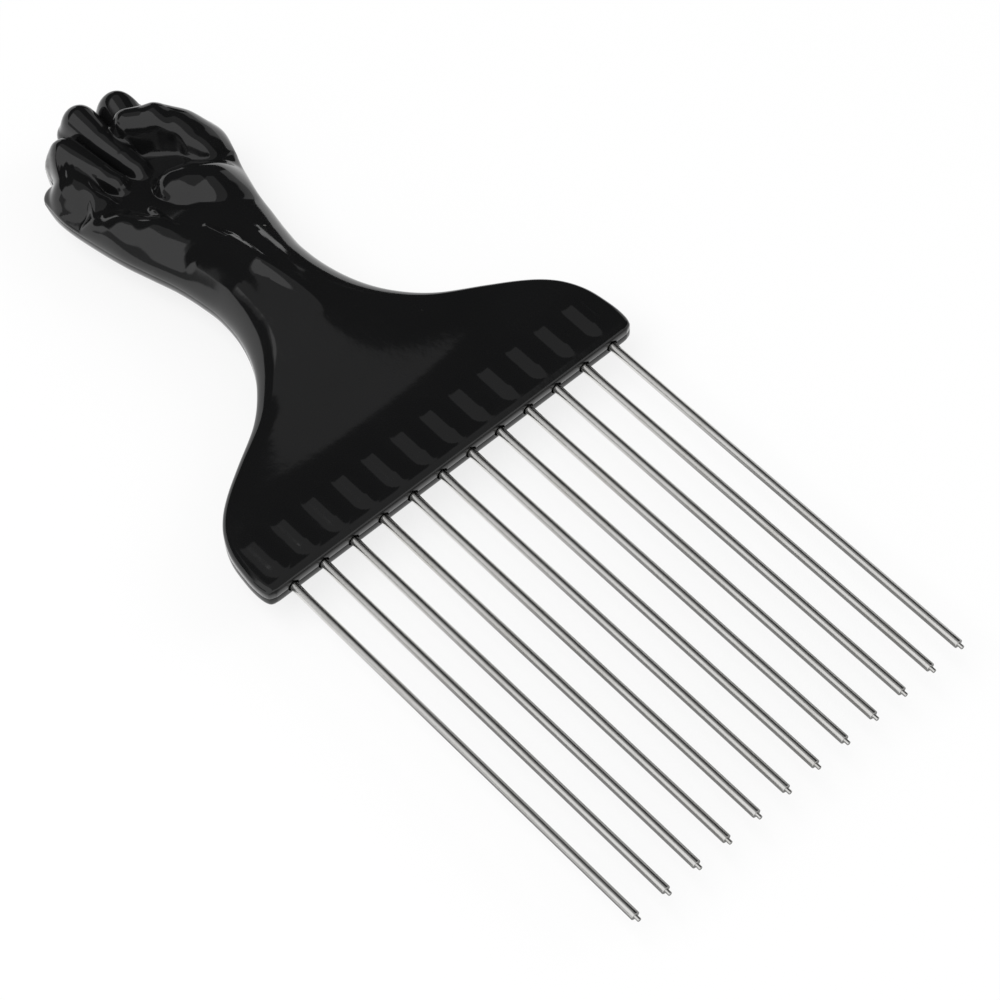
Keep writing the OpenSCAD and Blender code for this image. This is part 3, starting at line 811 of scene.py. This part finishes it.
# The white of the floor: how much of it nothing shades, and how light the rest is
FLOOR_GLOW, FLOOR_COLOUR = 0.8, (0.92, 0.92, 0.92)
# Painted shade on the floor under the tines, seen only in reflections, in place of the tines'
# shadow there:
# its middle along Y, where it fades out across and along the tines, and its light
SHADE_Y, SHADE_ACROSS, SHADE_ALONG, SHADE_LIGHT = -0.068, (0.045, 0.095), (0.025, 0.06), 0.28
# The room that gloss mirrors, by direction from the pick: what bounds each part of it, and from
# where to where it fades in there. The slant runs between X and Y and cuts the ceiling's corner
SLANT = 0.733
ROOM = {
    "ceiling": (("X", 0.392, 0.384), ("Y", 0.515, 0.5), ("Slant", 0.64, 0.628)),
    "panel": (("X", -0.17, -0.2), ("Y", 0.47, 0.44), ("Z", 0.27, 0.3)),
    "wall": (("Z", 0.36, 0.33), ("X", 0.45, 0.4)),
    "gap": (("X", -0.5, -0.54), ("Z", 0.3, 0.27), ("Y", 0.5, 0.42), ("Y", -0.1, 0)),
    "side": (("X", 0.6, 0.66), ("Z", 0.46, 0.42), ("Y", 0.47, 0.43), ("Y", 0, 0.1)),
}
# Light of its dim parts. Wall and panel are white
CEILING_LIGHT, SIDE_LIGHT, DARK_LIGHT = 0.28, 0.5, 0.015
# The lamps: place and size
KEY_LAMP = (-0.55, 0.1, 1.1), (0.9, 0.9)
FILL_LAMP = (0.9, -0.5, 0.8), (0.6, 0.6)
# The camera: its sensor's width in millimetres, and the nearest that it sees in metres
SENSOR_WIDTH, NEAREST_SEEN = 36, 0.01


class PICK_OT_stage(Operator):
    """Makes the pale floor, the room, the lamps and the camera"""
    bl_idname = "pick.stage"
    bl_label = "Make the stage"

    def execute(self, context):
        s = context.scene.pick_stage
        self.make_floor(s)
        self.make_room(context.scene, s)
        self.make_lamp("key_lamp", *KEY_LAMP, s.key_power)
        self.make_lamp("fill_lamp", *FILL_LAMP, s.fill_power)
        self.make_camera(context.scene, s)
        return {"FINISHED"}

    @staticmethod
    def rays(net):
        """Wires for what is seen, directly or through glass, and for what is mirrored."""
        path = net.node("ShaderNodeLightPath")
        seen = path["Is Camera Ray"].larger(path["Is Transmission Ray"])
        return seen, path["Is Glossy Ray"]

    def make_floor(self, s):
        """A white floor. Close under the tines it has painted shade in reflections, in place of
        their shadow.
        """
        bm = bmesh.new()
        bmesh.ops.create_grid(bm, x_segments=1, y_segments=1, size=s.floor_size / 2)
        floor = bpy.data.objects.new("floor", mesh_of("floor", bm))
        bpy.context.scene.collection.objects.link(floor)
        material, net = new_material("pale_floor")
        seen, mirrored = self.rays(net)
        at = net.node("ShaderNodeTexCoord")["Object"]
        axis = net.node("ShaderNodeSeparateXYZ", None, [at])
        # Painted shade: the glow that mirrored rays see is dimmed in a patch under the tines
        across = axis["X"].apart(0).step(*SHADE_ACROSS)
        along = axis["Y"].apart(SHADE_Y).step(*SHADE_ALONG)
        painted_shade_light = across.larger(along) * (1 - SHADE_LIGHT) + SHADE_LIGHT
        matt = net.node("ShaderNodeBsdfDiffuse", None, {"Color": rgba(FLOOR_COLOUR)})["BSDF"]
        glow = net.node("ShaderNodeEmission", None, {
            "Color": rgba((1, 1, 1)), "Strength": seen + mirrored * painted_shade_light})["Emission"]
        shader = net.node("ShaderNodeMixShader", None,
                          [seen * FLOOR_GLOW + mirrored, matt, glow])["Shader"]
        net.output("ShaderNodeOutputMaterial", shader)
        floor.data.materials.append(material)

    def make_room(self, scene, s):
        """The light of the room, and what gloss mirrors: a dim ceiling, pale walls, dark gaps."""
        world = bpy.data.worlds.new("room")
        scene.world = world
        world.use_nodes = True
        net = Net(world.node_tree)
        seen, mirrored = self.rays(net)
        towards = net.node("ShaderNodeTexCoord")["Generated"]
        axis = net.node("ShaderNodeSeparateXYZ", None, [towards])
        axis["Slant"] = axis["Y"] + axis["X"] * SLANT
        part = {name: reduce(mul, [axis[bound].step(start, full) for bound, start, full in ends])
                for name, ends in ROOM.items()}
        bright = (part["wall"] * (1 - part["gap"])).larger(part["panel"])
        dim = (part["ceiling"] * CEILING_LIGHT).larger(part["side"] * SIDE_LIGHT)
        shine = dim.larger(bright).larger(DARK_LIGHT)
        matt = (1 - seen) * (1 - mirrored)
        strength = seen + mirrored * shine + matt * s.sky_light
        shader = net.node("ShaderNodeBackground", None,
                          {"Color": rgba((1, 1, 1)), "Strength": strength})["Background"]
        net.output("ShaderNodeOutputWorld", shader)

    def make_lamp(self, name, place, size, power):
        lamp = bpy.data.lights.new(name, "AREA")
        lamp.shape = "RECTANGLE"
        lamp.size, lamp.size_y = size
        lamp.energy = power
        made = bpy.data.objects.new(name, lamp)
        made.location = place
        made.rotation_euler = (-Vector(place)).to_track_quat("-Z", "Y").to_euler()
        made.visible_glossy = False
        bpy.context.scene.collection.objects.link(made)

    def make_camera(self, scene, s):
        data = bpy.data.cameras.new("camera")
        data.lens = s.lens
        data.sensor_width = SENSOR_WIDTH
        data.clip_start = NEAREST_SEEN
        camera = bpy.data.objects.new("camera", data)
        eye, target = Vector(s.eye), Vector(s.look_at)
        turn = (target - eye).to_track_quat("-Z", "Y").to_matrix()
        turn = turn @ Matrix.Rotation(s.roll, 3, "Z")
        camera.matrix_world = Matrix.Translation(eye) @ turn.to_4x4()
        scene.collection.objects.link(camera)
        scene.camera = camera
        scene.view_settings.view_transform = "Standard"


class PICK_PT_panel(Panel):
    """Lists the sizes, the finishes and the steps that make the pick"""
    bl_idname = "PICK_PT_panel"
    bl_label = "Afro Pick"
    bl_space_type = "VIEW_3D"
    bl_region_type = "UI"
    bl_category = "Afro Pick"

    def draw(self, context):
        column = self.layout.column()
        for step in STEPS:
            column.operator(step.bl_idname)
        for name, kind in SETTINGS.items():
            box = self.layout.box()
            for field in kind.__annotations__:
                box.prop(getattr(context.scene, name), field)


SETTINGS = {"pick_handle": HandleSizes, "pick_tines": TineSizes,
            "pick_finish": PickFinish, "pick_stage": StageSettings}
STEPS = (PICK_OT_handle, PICK_OT_tines, PICK_OT_stage)
CLASSES = (*SETTINGS.values(), *STEPS, PICK_PT_panel)


def register():
    for kind in CLASSES:
        bpy.utils.register_class(kind)
    for name, kind in SETTINGS.items():
        setattr(bpy.types.Scene, name, PointerProperty(type=kind))


def unregister():
    for name in SETTINGS:
        delattr(bpy.types.Scene, name)
    for kind in reversed(CLASSES):
        bpy.utils.unregister_class(kind)


def main():
    register()
    bpy.ops.pick.handle()
    bpy.ops.pick.tines()
    bpy.ops.pick.stage()


if __name__ == "__main__":
    main()
